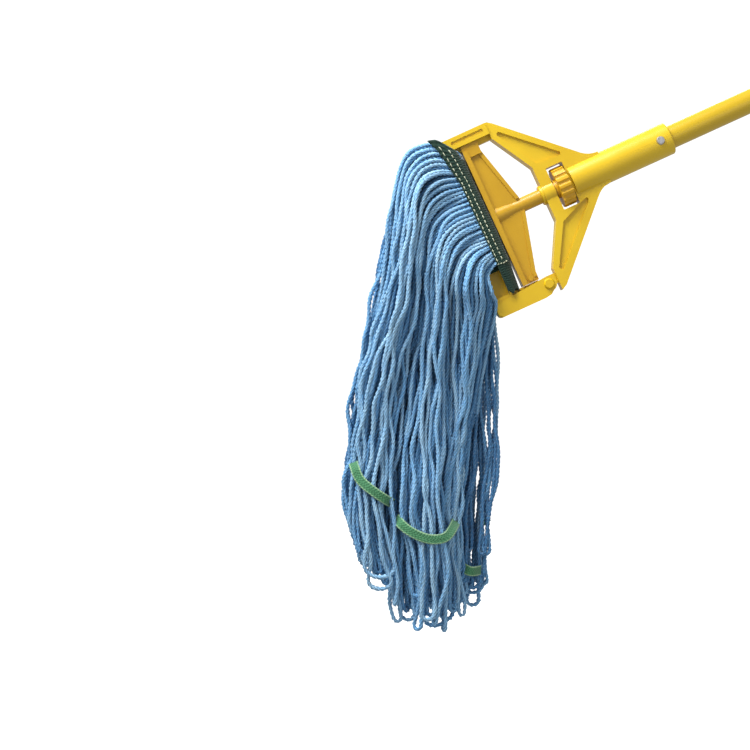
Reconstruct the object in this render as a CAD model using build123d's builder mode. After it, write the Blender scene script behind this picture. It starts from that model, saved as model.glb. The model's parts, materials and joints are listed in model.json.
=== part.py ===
"""A string mop: a looped-end yarn head held in a side-gate clamp on a long pole.

The clamp is laid out flat in its own plane. Along that plane's x (called u) runs the pole's axis, with the
thumbwheel's centre at 0 and the free end of the pole at the positive side. Its y (called v) runs along the
crossbar. The yarn hangs straight down, along -Z of the row frame.
"""

import os
from math import cos, radians, sin, sqrt

from build123d import *

os.makedirs("parts", exist_ok=True)

# ---------------------------------------------------------------- driving dimensions, in mm
TILT = 24.5  # the pole's axis above the horizontal, in degrees
MOUTH_U = 125.0  # the socket's mouth, from the wheel's centre
RUN_GAP = 0.06  # radial clearance of a running fit
FACE_GAP = 0.3  # gap between faces that only meet under load

# pole
POLE_R = 12.7
POLE_WALL = 1.7
SPIGOT_R = 12.5
SPIGOT_U = 64.0
OVERALL = 1372.0  # crossbar to hanging end
CAP_LEN = 12.0
TAB_LEN = 22.0
TAB_R = 11.0
TAB_THICK = 12.0
HANG_R = 4.0

# yoke
SOCKET_R = 17.8
SOCKET_START_U = 48.0
PLATE_DEPTH = 20.0
POCKET_DEPTH = 3.0
TOP_OUT = 95.0
TOP_RIB = 82.5
TOP_IN = 77.0
LOW_OUT = -101.5
LOW_RIB = -86.5
LOW_IN = -80.5
BAR_DEPTH = 24.0
RIB_DEPTH = 8.0
BAR_END_U = -96.0
BRIDGE_U = -22.5
BRIDGE_V = 31.0
SHOULDER_U = -49.0
BOSS_R = 12.5
SLOT_U0 = -10.0
SLOT_U1 = 8.6
SLOT_V = 24.0
FORK_END_U = -114.0
FORK_V = 80.5
TONGUE_DEPTH = 12.0

# thumbwheel and screw
WHEEL_R = 21.8
WHEEL_U0 = -6.3
WHEEL_U1 = 7.2
WHEEL_TEETH = 17
SCALLOP_R = 3.0
HUB_R = 10.5
WASHER_R = 9.6
WASHER_THICK = 1.2
INSERT_R = 7.5
SCREW_R = 5.0
SCREW_U0 = -72.0
SCREW_U1 = 40.0
SHANK_R = 8.0
SHANK_START_U = -76.0
SHANK_END_U = -24.5
BUSH_R = 9.6
BUSH_WALL_R = SHANK_R + RUN_GAP
COLLAR_R = 10.8
COLLAR_U = -25.7

# jaw
JAW_FACE_U = -83.5
JAW_FLANGE = 5.5
JAW_FLANGE_DEPTH = 22.0
JAW_WEB_DEPTH = 12.0
JAW_TOP_V = 75.7
JAW_LOW_V = -80.1
JAW_BACK_U = -64.5
JAW_KNEE_V = 71.0
JAW_NECK_U = -48.0
JAW_BORDER = 1.6
SHOE_LOW_V = 68.0
BUTTON_R = 2.7
BUTTON_HEIGHT = 3.4
SHOE_THICK = 5.0
SHOE_GAP = 0.4
ROOT_LEN = 24.0  # sloped root between shank and web
ROOT_FLARE = 2.0

# gate
GATE_OUT_U = -120.0
GATE_IN_U = -95.5
GATE_DEPTH = 18.0
GATE_TOP_V = 76.6
PIVOT_U = -57.4
PIVOT_V = -89.0
PIVOT_R = 3.0
PIVOT_HEAD_R = 5.8
PIVOT_HEAD = 2.6
PIVOT_WASHER_R = 7.4
PIVOT_WASHER = 1.2
LUG_R = 8.4
LUG_DEPTH = 10.0
CHANNEL_LEN = 150.0
CHANNEL_RIM = 3.3
CHANNEL_FLOOR = 3.5  # half the thickness left between the channels
TONGUE_GAP = 1.5
LUG_NECK = 2.9  # the lug's neck stops this far below the pivot, clear of the open gate

# mop head
TAPE = 1.2
PACKED_YARN = 9.0
FOLD_R = 3.4  # radius of the crossbar's inner edges, which the band folds over
BAND_TOP_V = 75.0
BAND_LOW_V = -77.0
YARN_LOW_V = -48.0
SKIRT_U = -118.0
LOBE_NEAR = 26.0  # how far the hanging yarn starts in front of the clamp's mid plane, beside the crossbar
LOBE_FAR = 46.0
LOBE_GAP = 1.0
DROP_TOP = -148.0  # below this height the yarn fills the whole depth
TAIL_BAND = 10.0

AXIS_DIR = (cos(radians(TILT)), 0, sin(radians(TILT)))
WHEEL_CENTRE = Vector(*AXIS_DIR) * -MOUTH_U
CLAMP = Plane(origin=WHEEL_CENTRE, x_dir=AXIS_DIR, z_dir=(0, -1, 0))
HANG = Plane(origin=WHEEL_CENTRE, x_dir=(1, 0, 0), z_dir=(0, -1, 0))


def across(u):
    """The plane square to the pole's axis at u, with its x along v and its y towards the front."""
    return Plane(origin=CLAMP.from_local_coords((u, 0, 0)), x_dir=CLAMP.y_dir, z_dir=AXIS_DIR)


def along(v):
    """The plane square to the crossbar at v, with its x along u and its y towards the back."""
    return Plane(origin=CLAMP.from_local_coords((0, v, 0)), x_dir=AXIS_DIR, z_dir=CLAMP.y_dir)


def save(piece, name):
    piece.part.label = name
    export_step(piece.part, f"parts/{name}.step")


# ---------------------------------------------------------------- pole and its end fittings
POLE_END_U = OVERALL + GATE_OUT_U - CAP_LEN - TAB_LEN
RIVET_U = 112.0
RIVET_R = 2.4
RIVET_HEAD_R = 4.6
RIVET_HEAD = 1.8

with BuildPart() as pole:
    with BuildSketch(across(MOUTH_U)):
        Circle(POLE_R)
    extrude(amount=POLE_END_U - MOUTH_U)
    with BuildSketch(across(SPIGOT_U)):
        Circle(SPIGOT_R)
    extrude(amount=MOUTH_U - SPIGOT_U)
    with BuildSketch(across(SPIGOT_U)):
        Circle(POLE_R - POLE_WALL)
    extrude(amount=POLE_END_U - SPIGOT_U, mode=Mode.SUBTRACT)
    with BuildSketch(CLAMP):
        with Locations((RIVET_U, 0)):
            Circle(RIVET_R + RUN_GAP)
    extrude(amount=2 * POLE_R, both=True, mode=Mode.SUBTRACT)
save(pole, "pole")

CAP_R = POLE_R - 0.2
PLUG_R = POLE_R - POLE_WALL - RUN_GAP
PLUG_LEN = 26.0
CAP_END_U = POLE_END_U + CAP_LEN

with BuildPart() as pole_end_plug:
    with BuildSketch(across(POLE_END_U - PLUG_LEN)):
        Circle(PLUG_R)
    extrude(amount=PLUG_LEN)
    with BuildSketch(across(POLE_END_U)):
        Circle(CAP_R)
    extrude(amount=CAP_LEN)
    with BuildSketch(CLAMP):
        with Locations((CAP_END_U + TAB_LEN / 2 - TAB_R / 2, 0)):
            Rectangle(TAB_LEN - TAB_R, 2 * TAB_R)
        with Locations((CAP_END_U + TAB_LEN - TAB_R, 0)):
            Circle(TAB_R)
    extrude(amount=TAB_THICK / 2, both=True)
    with BuildSketch(CLAMP):
        with Locations((CAP_END_U + TAB_LEN - TAB_R, 0)):
            Circle(HANG_R)
    extrude(amount=TAB_THICK, both=True, mode=Mode.SUBTRACT)
save(pole_end_plug, "pole_end_plug")

with BuildPart() as pole_rivet:
    with BuildSketch(CLAMP):
        with Locations((RIVET_U, 0)):
            Circle(RIVET_R)
    extrude(amount=SOCKET_R + 0.4, both=True)
    with BuildSketch(CLAMP.offset(SOCKET_R)):
        with Locations((RIVET_U, 0)):
            Circle(RIVET_HEAD_R)
    extrude(amount=RIVET_HEAD, taper=25)
    with BuildSketch(CLAMP.offset(-SOCKET_R)):
        with Locations((RIVET_U, 0)):
            Circle(RIVET_HEAD_R)
    extrude(amount=-RIVET_HEAD, taper=25)
save(pole_rivet, "pole_rivet")

# ---------------------------------------------------------------- yoke: socket, bridge, arms, fixed side bar
LOW_ARM_END_U = PIVOT_U + LUG_R + 2.5
BACK_U = SLOT_U1 + 1.5
TOP_ARM = (-42.0, 91.5)
TOP_KNEE = (24.0, 30.5)
LOW_ARM = (-40.5, -97.5)
LOW_KNEE = (26.0, -29.5)
TOP_PANEL = ((-17.0, 33.0), (-43.0, 78.5), (-40.0, 81.0), (12.0, 33.5), (10.0, 31.0))
LOW_PANEL = ((-16.0, -35.0), (-40.5, -78.0), (-37.0, -82.0), (17.0, -27.0), (19.0, -21.5), (12.0, -23.0))
CORNER_R = 3.5

with BuildPart() as yoke:
    with BuildSketch(CLAMP):
        with BuildLine():
            Polyline((BRIDGE_U, 0), (BRIDGE_U, BRIDGE_V), (SHOULDER_U, TOP_IN), (SHOULDER_U, TOP_OUT),
                     (SHOULDER_U + 2, TOP_OUT), TOP_ARM, TOP_KNEE)
            top_shoulder = Spline(TOP_KNEE, (SOCKET_START_U, SOCKET_R), tangents=[(1, -0.92), (1, 0)])
            Line(top_shoulder @ 1, (SOCKET_START_U, -SOCKET_R))
            Spline((SOCKET_START_U, -SOCKET_R), LOW_KNEE, tangents=[(-1, 0), (-1, -1.02)])
            Polyline(LOW_KNEE, LOW_ARM, (LOW_ARM_END_U, LOW_OUT + 0.8), (LOW_ARM_END_U, LOW_IN + 5),
                     (BRIDGE_U, -BRIDGE_V), (BRIDGE_U, 0))
        make_face()
        corners = [vertex for vertex in vertices()
                   if min(abs(vertex.Y - TOP_ARM[1]), abs(vertex.Y - LOW_ARM[1])) < 0.01]
        fillet(corners, CORNER_R)
    extrude(amount=PLATE_DEPTH / 2, both=True)
    # recessed panels that leave a rim round each arm, on both faces
    for side in (1, -1):
        for panel in (TOP_PANEL, LOW_PANEL):
            with BuildSketch(CLAMP.offset(side * (PLATE_DEPTH / 2 - POCKET_DEPTH))):
                with BuildLine():
                    Polyline(*panel, close=True)
                make_face()
                fillet(vertices(), 1.4)
            extrude(amount=side * (POCKET_DEPTH + 1), mode=Mode.SUBTRACT)
    # the socket runs into the plate as a round back, and a boss carries the screw through the bridge
    with BuildSketch(across(BACK_U)):
        Circle(SOCKET_R)
    extrude(amount=MOUTH_U - BACK_U)
    with BuildSketch(across(BRIDGE_U)):
        Circle(BOSS_R)
    extrude(amount=SLOT_U0 - BRIDGE_U)
    # fixed side bar: a deep rail with a thin inner rib, and a fork for the gate's tongue at its end
    with BuildSketch(CLAMP):
        with Locations(((BAR_END_U + SHOULDER_U) / 2, (TOP_RIB + TOP_OUT) / 2)):
            Rectangle(SHOULDER_U - BAR_END_U, TOP_OUT - TOP_RIB)
    extrude(amount=BAR_DEPTH / 2, both=True)
    with BuildSketch(CLAMP):
        with Locations(((BAR_END_U + SHOULDER_U) / 2, (TOP_RIB + TOP_IN) / 2)):
            Rectangle(SHOULDER_U - BAR_END_U, TOP_RIB - TOP_IN)
    extrude(amount=RIB_DEPTH / 2, both=True)
    for side in (1, -1):
        with BuildSketch(CLAMP.offset(side * (TONGUE_DEPTH / 2 + FACE_GAP))):
            with Locations(((FORK_END_U + BAR_END_U) / 2, (FORK_V + TOP_OUT) / 2)):
                RectangleRounded(BAR_END_U - FORK_END_U + 4, TOP_OUT - FORK_V, 1.9)
        extrude(amount=side * (BAR_DEPTH - TONGUE_DEPTH - 2 * FACE_GAP) / 2)
    # a long groove in the fixed bar's front and back faces
    for side in (1, -1):
        with BuildSketch(CLAMP.offset(side * (BAR_DEPTH / 2 - 1.6))):
            with Locations(((BAR_END_U + SHOULDER_U) / 2, TOP_RIB + 6.5)):
                SlotOverall(SHOULDER_U - BAR_END_U - 10, 3.6)
        extrude(amount=side * 3, mode=Mode.SUBTRACT)
    # lug that the gate turns on
    with BuildSketch(CLAMP):
        with Locations((PIVOT_U, PIVOT_V)):
            Circle(LUG_R)
        with BuildLine():
            Polyline((PIVOT_U, PIVOT_V + LUG_R), (LOW_ARM_END_U + 1, PIVOT_V + LUG_R),
                     (LOW_ARM_END_U + 1, PIVOT_V - LUG_NECK), (PIVOT_U, PIVOT_V - LUG_NECK), close=True)
        make_face()
    extrude(amount=LUG_DEPTH / 2, both=True)
    with BuildSketch(CLAMP):
        with Locations((PIVOT_U, PIVOT_V)):
            Circle(PIVOT_R + RUN_GAP / 2)
        with Locations((RIVET_U, 0)):
            Circle(RIVET_R + RUN_GAP)
        with Locations(((SLOT_U0 + SLOT_U1) / 2, 0)):
            RectangleRounded(SLOT_U1 - SLOT_U0, 2 * SLOT_V, 1.2)
    extrude(amount=2 * SOCKET_R, both=True, mode=Mode.SUBTRACT)
    with BuildSketch(across(BRIDGE_U - 1)):
        Circle(BUSH_R)
    extrude(amount=SLOT_U0 - BRIDGE_U + 1, mode=Mode.SUBTRACT)
    with BuildSketch(across(SLOT_U1 - 0.5)):
        Circle(SCREW_R + 0.8)
    extrude(amount=SPIGOT_U - SLOT_U1 + 0.5, mode=Mode.SUBTRACT)
    with BuildSketch(across(SPIGOT_U)):
        Circle(SPIGOT_R)
    extrude(amount=MOUTH_U - SPIGOT_U + 1, mode=Mode.SUBTRACT)
    mouth_edges = [edge for edge in yoke.edges().filter_by(GeomType.CIRCLE)
                   if abs(CLAMP.to_local_coords(edge.arc_center).X - MOUTH_U) < 0.1
                   and edge.radius > SOCKET_R - 0.1]
    fillet(mouth_edges, 1.5)
save(yoke, "yoke")

with BuildPart() as stem_bush:
    with BuildSketch(across(BRIDGE_U)):
        Circle(BUSH_R)
    extrude(amount=SLOT_U0 - BRIDGE_U - 0.2)
    with BuildSketch(across(COLLAR_U)):
        Circle(COLLAR_R)
    extrude(amount=BRIDGE_U - COLLAR_U)
    with BuildSketch(across(COLLAR_U)):
        Circle(BUSH_WALL_R)
    extrude(amount=SLOT_U0 - COLLAR_U, mode=Mode.SUBTRACT)
    chamfer(stem_bush.edges().filter_by(GeomType.CIRCLE).sort_by(
        lambda edge: CLAMP.to_local_coords(edge.arc_center).X)[0:2].sort_by(SortBy.RADIUS)[-1], 0.8)
save(stem_bush, "stem_bush")

# ---------------------------------------------------------------- thumbwheel
HUB_U0 = SLOT_U0 + 0.2
HUB_U1 = SLOT_U1 - 0.2

with BuildPart() as thumbwheel:
    with BuildSketch(across(WHEEL_U0)):
        Circle(WHEEL_R)
        with PolarLocations(WHEEL_R + 1.0, WHEEL_TEETH):
            Circle(SCALLOP_R, mode=Mode.SUBTRACT)
    extrude(amount=WHEEL_U1 - WHEEL_U0)
    rim_edges = thumbwheel.edges().filter_by(GeomType.CIRCLE)
    chamfer(rim_edges, 0.5)
    with BuildSketch(across(HUB_U0 + WASHER_THICK)):
        Circle(HUB_R)
    extrude(amount=HUB_U1 - HUB_U0 - 2 * WASHER_THICK)
    with BuildSketch(across(SLOT_U0)):
        Circle(INSERT_R)
    extrude(amount=SLOT_U1 - SLOT_U0, mode=Mode.SUBTRACT)
save(thumbwheel, "thumbwheel")

with BuildPart() as wheel_insert:
    with BuildSketch(across(HUB_U0 + WASHER_THICK)):
        Circle(INSERT_R)
        Circle(SCREW_R + RUN_GAP, mode=Mode.SUBTRACT)
    extrude(amount=HUB_U1 - HUB_U0 - 2 * WASHER_THICK)
save(wheel_insert, "wheel_insert")

for name, start_u in (("thrust_washer_front", HUB_U0), ("thrust_washer_back", HUB_U1 - WASHER_THICK)):
    with BuildPart() as washer:
        with BuildSketch(across(start_u)):
            Circle(WASHER_R)
            Circle(SCREW_R + 0.5, mode=Mode.SUBTRACT)
        extrude(amount=WASHER_THICK)
    save(washer, name)

# ---------------------------------------------------------------- screw, its pin and the jaw
PIN_U = -67.0
PIN_R = 1.6
PIN_HALF = 6.6

with BuildPart() as screw_rod:
    with BuildSketch(across(SCREW_U0)):
        Circle(SCREW_R)
    extrude(amount=SCREW_U1 - SCREW_U0)
    chamfer(screw_rod.edges().filter_by(GeomType.CIRCLE), 1.0)
    with BuildSketch(CLAMP):
        with Locations((PIN_U, 0)):
            Circle(PIN_R)
    extrude(amount=2 * SCREW_R, both=True, mode=Mode.SUBTRACT)
save(screw_rod, "screw_rod")

with BuildPart() as screw_pin:
    with BuildSketch(CLAMP):
        with Locations((PIN_U, 0)):
            Circle(PIN_R)
    extrude(amount=PIN_HALF, both=True)
save(screw_pin, "screw_pin")

with BuildPart() as jaw:
    # web: a flat triangle that narrows to the shank
    with BuildSketch(CLAMP):
        with BuildLine():
            Polyline((JAW_FACE_U, JAW_LOW_V), (JAW_FACE_U, JAW_TOP_V), (JAW_BACK_U, JAW_TOP_V),
                     (JAW_BACK_U, JAW_KNEE_V), (JAW_NECK_U, SHANK_R), (JAW_NECK_U, -SHANK_R),
                     (JAW_BACK_U, -JAW_KNEE_V), (JAW_BACK_U, JAW_LOW_V), close=True)
        make_face()
        fillet(vertices().group_by(Axis.Y)[-1], 1.5)
    extrude(amount=JAW_WEB_DEPTH / 2, both=True)
    # flange that presses on the band
    with BuildSketch(CLAMP):
        with Locations((JAW_FACE_U + JAW_FLANGE / 2, (JAW_TOP_V + JAW_LOW_V) / 2)):
            Rectangle(JAW_FLANGE, JAW_TOP_V - JAW_LOW_V)
    extrude(amount=JAW_FLANGE_DEPTH / 2, both=True)
    # raised border along the back of the web, on both faces
    with BuildSketch(CLAMP):
        with BuildLine():
            Polyline((JAW_BACK_U, JAW_TOP_V), (JAW_BACK_U, JAW_KNEE_V), (JAW_NECK_U, SHANK_R),
                     (JAW_NECK_U - 4, SHANK_R), (JAW_BACK_U - 4, JAW_KNEE_V - 1), (JAW_BACK_U - 4, JAW_TOP_V),
                     close=True)
        make_face()
        mirror(about=Plane.XZ)
    extrude(amount=JAW_WEB_DEPTH / 2 + JAW_BORDER, both=True)
    # shank, with a sloped root on the web
    with BuildSketch(across(SHANK_START_U)):
        Circle(SHANK_R)
    extrude(amount=SHANK_END_U - SHANK_START_U)
    with BuildSketch(across(SHANK_START_U - 4)):
        Circle(SHANK_R + ROOT_FLARE)
    extrude(amount=ROOT_LEN, taper=5)
    # guide shoe that straddles the fixed bar's rib
    for side in (1, -1):
        with BuildSketch(CLAMP.offset(side * (RIB_DEPTH / 2 + FACE_GAP))):
            with Locations(((JAW_FACE_U + JAW_BACK_U) / 2, (SHOE_LOW_V + TOP_RIB - SHOE_GAP) / 2)):
                RectangleRounded(JAW_BACK_U - JAW_FACE_U, TOP_RIB - SHOE_GAP - SHOE_LOW_V, 1.5)
        extrude(amount=side * SHOE_THICK)
    # small moulded button at the lower end
    for side in (1, -1):
        with BuildSketch(CLAMP.offset(side * JAW_WEB_DEPTH / 2)):
            with Locations((JAW_BACK_U - 8.0, JAW_LOW_V + 4.5)):
                Circle(BUTTON_R)
        extrude(amount=side * BUTTON_HEIGHT)
    with BuildSketch(across(SCREW_U0)):
        Circle(SCREW_R)
    extrude(amount=SHANK_END_U - SCREW_U0 + 1, mode=Mode.SUBTRACT)
    with BuildSketch(CLAMP):
        with Locations((PIN_U, 0)):
            Circle(PIN_R)
    extrude(amount=PIN_HALF, both=True, mode=Mode.SUBTRACT)
save(jaw, "jaw")

# ---------------------------------------------------------------- gate, its pivot rivet and washer
with BuildPart() as gate:
    with BuildSketch(CLAMP):
        with Locations(((GATE_OUT_U + GATE_IN_U) / 2, (GATE_TOP_V + LOW_OUT) / 2)):
            Rectangle(GATE_IN_U - GATE_OUT_U, GATE_TOP_V - LOW_OUT)
        fillet(vertices().group_by(Axis.Y)[0].sort_by(Axis.X)[0], 4.0)
    extrude(amount=GATE_DEPTH / 2, both=True)
    # side bar: a deep rail, a thin inner rib and a fork round the yoke's lug
    with BuildSketch(CLAMP):
        with BuildLine():
            Polyline((PIVOT_U + 2, PIVOT_V - LUG_R + 0.2), (PIVOT_U - 2, LOW_OUT + 1.2),
                     (PIVOT_U - 9, LOW_OUT), (GATE_OUT_U + 4, LOW_OUT), (GATE_OUT_U, LOW_OUT + 4),
                     (GATE_OUT_U, LOW_RIB), (PIVOT_U, PIVOT_V + LUG_R), close=True)
        make_face()
        with Locations((PIVOT_U, PIVOT_V)):
            Circle(LUG_R)
    extrude(amount=BAR_DEPTH / 2, both=True)
    with BuildSketch(CLAMP):
        with Locations(((GATE_IN_U + PIVOT_U - LUG_R - 1) / 2, (LOW_RIB + LOW_IN) / 2 - 1)):
            Rectangle(PIVOT_U - LUG_R + 1 - GATE_IN_U, LOW_IN - LOW_RIB + 2)
    extrude(amount=RIB_DEPTH / 2, both=True)
    with BuildSketch(CLAMP):
        with Locations((PIVOT_U, PIVOT_V)):
            Circle(LUG_R + 0.8)
        with Locations((PIVOT_U + LUG_R, PIVOT_V)):
            Rectangle(2 * LUG_R, 4 * LUG_R)
    extrude(amount=LUG_DEPTH / 2 + FACE_GAP, both=True, mode=Mode.SUBTRACT)
    with BuildSketch(CLAMP):
        with Locations((PIVOT_U, PIVOT_V)):
            Circle(PIVOT_R + RUN_GAP)
    extrude(amount=BAR_DEPTH, both=True, mode=Mode.SUBTRACT)
    # channel in the crossbar's front and back faces
    for side in (1, -1):
        with BuildSketch(CLAMP.offset(side * CHANNEL_FLOOR)):
            with Locations(((GATE_OUT_U + GATE_IN_U) / 2 - 0.7, -6.0)):
                RectangleRounded(GATE_IN_U - GATE_OUT_U - 2 * CHANNEL_RIM, CHANNEL_LEN, 3.0)
        extrude(amount=side * GATE_DEPTH, mode=Mode.SUBTRACT)
    # tongue at the free end, between the fixed bar's fork cheeks
    with BuildSketch(CLAMP):
        with BuildLine():
            Polyline((GATE_OUT_U, GATE_TOP_V - 2), (GATE_OUT_U, GATE_TOP_V + 9),
                     (GATE_OUT_U + 7, TOP_OUT - TONGUE_GAP), (BAR_END_U - TONGUE_GAP, TOP_OUT - TONGUE_GAP),
                     (BAR_END_U - TONGUE_GAP, GATE_TOP_V - 2), close=True)
        make_face()
    extrude(amount=TONGUE_DEPTH / 2, both=True)
    # rounded inner edges, which the band folds over
    inner_edges = gate.edges().filter_by(lambda edge: edge.length > 100).sort_by(
        lambda edge: CLAMP.to_local_coords(edge.center()).X)[-2:]
    fillet(inner_edges, FOLD_R)
save(gate, "gate")

with BuildPart() as gate_pivot_rivet:
    with BuildSketch(CLAMP):
        with Locations((PIVOT_U, PIVOT_V)):
            Circle(PIVOT_R)
    extrude(amount=BAR_DEPTH / 2 + PIVOT_HEAD, both=True)
    with BuildSketch(CLAMP.offset(BAR_DEPTH / 2 + 0.2)):
        with Locations((PIVOT_U, PIVOT_V)):
            Circle(PIVOT_HEAD_R)
    extrude(amount=PIVOT_HEAD - 0.2, taper=30)
    with BuildSketch(CLAMP.offset(-BAR_DEPTH / 2 - PIVOT_WASHER - 0.4)):
        with Locations((PIVOT_U, PIVOT_V)):
            Circle(PIVOT_R + 2)
    extrude(amount=-1.8, taper=30)
save(gate_pivot_rivet, "gate_pivot_rivet")

with BuildPart() as gate_pivot_washer:
    with BuildSketch(CLAMP.offset(-BAR_DEPTH / 2 - 0.3)):
        with Locations((PIVOT_U, PIVOT_V)):
            Circle(PIVOT_WASHER_R)
            Circle(PIVOT_R, mode=Mode.SUBTRACT)
    extrude(amount=-PIVOT_WASHER)
save(gate_pivot_washer, "gate_pivot_washer")

# ---------------------------------------------------------------- headband, folded over the crossbar
FOLD_U = GATE_IN_U + 0.2
FOLD_Y = GATE_DEPTH / 2 + 0.2


def fold(reach, skirt_u):
    """A path round the crossbar's inner face, reach outside it, open on the outer side down to skirt_u."""
    top = FOLD_U + reach
    side = FOLD_Y + reach
    turn = FOLD_R + reach
    lean = turn * (1 - sqrt(0.5))
    return (
        (skirt_u, -side), (top - turn, -side), (top - lean, -side + lean), (top, -side + turn),
        (top, side - turn), (top - lean, side - lean), (top - turn, side), (skirt_u, side),
    )


def fold_outline(reach, skirt_u):
    """Draws that path in the current line context and returns its two ends."""
    a, b, c, d, e, f, g, h = fold(reach, skirt_u)
    Line(a, b)
    ThreePointArc(b, c, d)
    Line(d, e)
    ThreePointArc(e, f, g)
    Line(g, h)
    return a, h


def folded_sheet(inner, outer, skirt_u, low_v, high_v):
    """A sheet between two distances from the crossbar, as a part built in its own context."""
    with BuildPart() as sheet:
        with BuildSketch(along(low_v)):
            with BuildLine():
                inner_ends = fold_outline(inner, skirt_u)
                outer_ends = fold_outline(outer, skirt_u)
                Line(inner_ends[0], outer_ends[0])
                Line(inner_ends[1], outer_ends[1])
            make_face()
        extrude(amount=high_v - low_v)
    return sheet


TAPE_EDGE_U = FOLD_U - FOLD_R
CORE_IN = TAPE + 0.05
CORE_OUT = TAPE + PACKED_YARN

headband_inner_tape = folded_sheet(0.0, TAPE, TAPE_EDGE_U - 12.0, BAND_LOW_V, BAND_TOP_V)
save(headband_inner_tape, "headband_inner_tape")

headband_outer_tape = folded_sheet(CORE_OUT + 0.05, CORE_OUT + TAPE, TAPE_EDGE_U - 1.5,
                                   BAND_LOW_V, BAND_TOP_V)
save(headband_outer_tape, "headband_outer_tape")

headband_yarn = folded_sheet(CORE_IN, CORE_OUT, SKIRT_U, YARN_LOW_V, BAND_TOP_V)
save(headband_yarn, "headband_yarn")

# ---------------------------------------------------------------- hanging yarn: six lobes
FALL_LINES = (
    ((-134, 46), (-160, 42), (-175, 26), (-184, -24), (-190, -66), (-204, -148), (-218, -235), (-232, -325),
     (-228, -395), (-203, -432)),
    ((-128, 34), (-136, 30), (-150, 8), (-160, -34), (-166, -75), (-170, -148), (-174, -235), (-180, -325),
     (-180, -395), (-180, -440)),
    ((-108, -8), (-112, -12), (-118, -28), (-122, -50), (-124, -85), (-125, -148), (-120, -235), (-114, -325),
     (-113, -395), (-116, -462)),
    ((-80, -74), (-80, -80), (-80, -88), (-79, -100), (-77, -118), (-72, -148), (-71, -235), (-73, -325),
     (-84, -395), (-90, -448)),
)
LOBE_NAMES = ("left", "middle", "right")


def lobe_outline(first, second):
    """The closed outline between two fall lines, pulled in by half the gap on each side."""
    left = [(x + LOBE_GAP / 2, z) for x, z in first]
    right = [(x - LOBE_GAP / 2, z) for x, z in second]
    return left + right[::-1]


for lobe_index, lobe_name in enumerate(LOBE_NAMES):
    outline = lobe_outline(FALL_LINES[lobe_index], FALL_LINES[lobe_index + 1])
    for face_name, side in (("front", 1), ("back", -1)):
        with BuildPart() as lobe:
            with BuildSketch(HANG.offset(side * LOBE_NEAR)):
                with BuildLine():
                    Polyline(*outline, close=True)
                make_face()
            extrude(amount=side * (LOBE_FAR - LOBE_NEAR))
            with BuildSketch(HANG.offset(side * LOBE_NEAR)):
                with BuildLine():
                    Polyline(*[point for point in outline if point[1] <= DROP_TOP], close=True)
                make_face()
            extrude(amount=side * (LOBE_GAP - LOBE_NEAR))
        save(lobe, f"yarn_{face_name}_{lobe_name}")

# ---------------------------------------------------------------- tail bands, sewn across the lobes
FRONT_TAIL = (((-223, -295), (-205, -321), (-182, -337)), ((-179, -351), (-148, -372), (-114, -356)))
BACK_TAIL = (((-219, -306), (-206, -330), (-182, -344)), ((-179, -352), (-148, -364), (-116, -356)),
             ((-112, -352), (-94, -374), (-76, -362)))

for tail_name, side, sweeps in (("tail_band_front", 1, FRONT_TAIL), ("tail_band_back", -1, BACK_TAIL)):
    with BuildPart() as tail:
        with BuildSketch(HANG.offset(side * (LOBE_FAR + 0.2))):
            for sweep_points in sweeps:
                with BuildLine():
                    top = ThreePointArc(*sweep_points)
                    low = ThreePointArc(*[(x, z - TAIL_BAND) for x, z in sweep_points])
                    Line(top @ 0, low @ 0)
                    Line(top @ 1, low @ 1)
                make_face()
        extrude(amount=side * TAPE)
    save(tail, tail_name)

print("wheel centre", WHEEL_CENTRE)
print("gate pivot", CLAMP.from_local_coords((PIVOT_U, PIVOT_V, 0)))
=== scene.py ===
"""A string mop in a side-gate clamp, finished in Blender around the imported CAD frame.

Lengths are in metres. Points on the clamp are given as (u, v, y): u along the pole's axis from the
thumbwheel, v along the crossbar, and y away from the viewer. Points of the hanging yarn are (x, z) from the
thumbwheel. A strand's place along the band is q, from 0 at the band's top to 1 where its yarn ends.
"""

import json
from math import cos, pi, radians, sin, sqrt

import bpy
import numpy as np
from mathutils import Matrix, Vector


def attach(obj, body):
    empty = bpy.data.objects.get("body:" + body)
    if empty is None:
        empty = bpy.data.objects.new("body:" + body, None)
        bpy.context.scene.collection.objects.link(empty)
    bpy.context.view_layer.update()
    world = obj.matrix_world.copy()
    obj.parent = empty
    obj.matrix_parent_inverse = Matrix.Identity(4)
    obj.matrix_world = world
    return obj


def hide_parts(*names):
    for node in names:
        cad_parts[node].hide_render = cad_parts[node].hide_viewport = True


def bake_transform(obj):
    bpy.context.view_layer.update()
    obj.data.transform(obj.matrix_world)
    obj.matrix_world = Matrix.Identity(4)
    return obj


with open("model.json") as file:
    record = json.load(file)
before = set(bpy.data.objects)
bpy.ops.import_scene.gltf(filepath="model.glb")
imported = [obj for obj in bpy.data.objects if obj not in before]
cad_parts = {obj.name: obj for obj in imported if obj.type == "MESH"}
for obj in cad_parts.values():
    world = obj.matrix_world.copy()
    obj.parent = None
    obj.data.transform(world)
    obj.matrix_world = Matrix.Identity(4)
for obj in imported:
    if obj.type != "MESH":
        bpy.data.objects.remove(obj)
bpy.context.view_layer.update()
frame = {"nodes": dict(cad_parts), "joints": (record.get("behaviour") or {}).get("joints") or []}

JOINTS = {joint["name"]: joint for joint in frame["joints"]}
WHEEL = np.array(JOINTS["thumbwheel_spin"]["pos_m"], float)
AXIS_U = np.array(JOINTS["thumbwheel_spin"]["axis"], float)
AXIS_V = np.array((-AXIS_U[2], 0.0, AXIS_U[0]))
DEPTH = np.array((0.0, 1.0, 0.0))
# The sign of y on each side of the mop.
OUTWARD = {"front": -1.0, "back": 1.0}


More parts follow.
